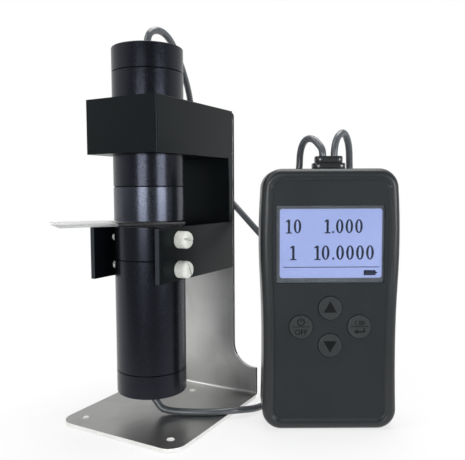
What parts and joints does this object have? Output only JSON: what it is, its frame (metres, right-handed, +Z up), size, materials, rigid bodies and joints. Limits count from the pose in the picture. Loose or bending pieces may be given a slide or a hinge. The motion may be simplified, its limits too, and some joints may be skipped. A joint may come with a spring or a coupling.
{
  "type": "optical density meter",
  "caption": "Bench densitometer: steel stand with an upper and a clamped lower optical head, a sample plate between them, and a cabled handset with display and keys.",
  "frame": {"origin": "on the bench under the base, on the optical axis of the two heads", "axes": "+X to the right across the stand, +Y back to the upright, +Z up along the optical axis"},
  "size_m": [0.1751, 0.1114, 0.2148],
  "materials": {
    "sheet_steel": "brushed stainless sheet",
    "bracket_black": "satin black anodised",
    "head_black": "satin black anodised, turned",
    "screw_black": "black oxide",
    "nylon_white": "moulded white nylon",
    "optical_glass": "polished optical glass",
    "opal_white": "opal diffuser",
    "board_green": "green circuit board",
    "can_metal": "bright plated steel",
    "bare_aluminium": "machined aluminium",
    "grommet_rubber": "black rubber",
    "cable_grey": "dark grey cable jacket",
    "shell_grey": "dark grey fine-textured plastic",
    "panel_grey": "dark grey printed overlay",
    "key_grey": "grey moulded keys",
    "display_blue": "blue backlit display",
    "display_clear": "clear display window",
    "cell_jacket": "plain jacketed cell",
    "contact_metal": "plated spring contact",
    "sample_pale": "pale translucent sheet",
    "switch_black": "black moulded plastic"
  },
  "bodies": {
    "root": {"stand_plate": "sheet_steel", "bracket": "bracket_black", "bracket_screws": "screw_black", "grub_screw": "screw_black", "sensor_nose": "head_black", "sensor_window": "optical_glass", "sensor_window_ring": "head_black", "sensor_board": "board_green", "sensor_can": "can_metal", "sensor_board_screws": "can_metal", "sensor_tube": "head_black", "sensor_cap": "head_black", "sensor_grommet": "grommet_rubber", "sensor_lead": "cable_grey", "front_shell": "shell_grey", "face_panel": "panel_grey", "display_window": "display_clear", "display_glass": "display_blue", "backlight": "opal_white", "main_board": "board_green", "board_screws": "can_metal", "key_switches": "switch_black", "rear_shell": "shell_grey", "case_screws": "screw_black", "battery_cells": "cell_jacket", "battery_contacts": "contact_metal", "handset_socket": "switch_black", "cable_plug": "cable_grey", "sensor_cable": "cable_grey", "lamp_tail": "cable_grey", "lamp_cable": "cable_grey"},
    "lower_head": {"lamp_collar": "head_black", "opal_window": "opal_white", "condenser_lens": "optical_glass", "lens_ring": "head_black", "lamp_tube": "head_black", "heat_sink": "bare_aluminium", "lamp_board": "board_green", "lamp": "opal_white", "lamp_cap": "head_black", "lamp_grommet": "grommet_rubber", "lamp_lead": "cable_grey"},
    "sample": {"sample_plate": "sample_pale"},
    "door": {"battery_door": "shell_grey"},
    "button_up_body": {"button_up": "key_grey"},
    "button_down_body": {"button_down": "key_grey"},
    "button_power_body": {"button_power": "key_grey"},
    "button_enter_body": {"button_enter": "key_grey"},
    "clamp_screw_right_upper_body": {"clamp_screw_right_upper": "nylon_white"},
    "clamp_screw_right_lower_body": {"clamp_screw_right_lower": "nylon_white"},
    "clamp_screw_left_upper_body": {"clamp_screw_left_upper": "nylon_white"},
    "clamp_screw_left_lower_body": {"clamp_screw_left_lower": "nylon_white"}
  },
  "joints": [
    {"name": "lower_head_slide", "type": "slide", "parent": "root", "child": "lower_head", "axis": [0, 0, -1], "range_m": [0, 0.006], "deforming": ["lamp_tail"]},
    {"name": "sample_slide", "type": "slide", "parent": "root", "child": "sample", "axis": [-0.5736, -0.8191, 0], "range_m": [0, 0.06]},
    {"name": "battery_door_pull", "type": "slide", "parent": "root", "child": "door", "axis": [-0.4898, 0.8718, 0], "range_m": [0, 0.02]},
    {"name": "button_up_press", "type": "slide", "parent": "root", "child": "button_up_body", "axis": [-0.4898, 0.8718, 0], "range_m": [0, 0.0008], "stiffness_N_per_m": 1500},
    {"name": "button_down_press", "type": "slide", "parent": "root", "child": "button_down_body", "axis": [-0.4898, 0.8718, 0], "range_m": [0, 0.0008], "stiffness_N_per_m": 1500},
    {"name": "button_power_press", "type": "slide", "parent": "root", "child": "button_power_body", "axis": [-0.4898, 0.8718, 0], "range_m": [0, 0.0008], "stiffness_N_per_m": 1500},
    {"name": "button_enter_press", "type": "slide", "parent": "root", "child": "button_enter_body", "axis": [-0.4898, 0.8718, 0], "range_m": [0, 0.0008], "stiffness_N_per_m": 1500},
    {"name": "clamp_right_upper_turn", "type": "hinge", "parent": "root", "child": "clamp_screw_right_upper_body", "pos_m": [0.0231, -0.0057, 0.1003], "axis": [1, 0, 0], "range_deg": [0, 360]},
    {"name": "clamp_right_lower_turn", "type": "hinge", "parent": "root", "child": "clamp_screw_right_lower_body", "pos_m": [0.0231, -0.0057, 0.0849], "axis": [1, 0, 0], "range_deg": [0, 360]},
    {"name": "clamp_left_upper_turn", "type": "hinge", "parent": "root", "child": "clamp_screw_left_upper_body", "pos_m": [-0.0231, -0.0057, 0.1003], "axis": [-1, 0, 0], "range_deg": [0, 360]},
    {"name": "clamp_left_lower_turn", "type": "hinge", "parent": "root", "child": "clamp_screw_left_lower_body", "pos_m": [-0.0231, -0.0057, 0.0849], "axis": [-1, 0, 0], "range_deg": [0, 360]}
  ]
}
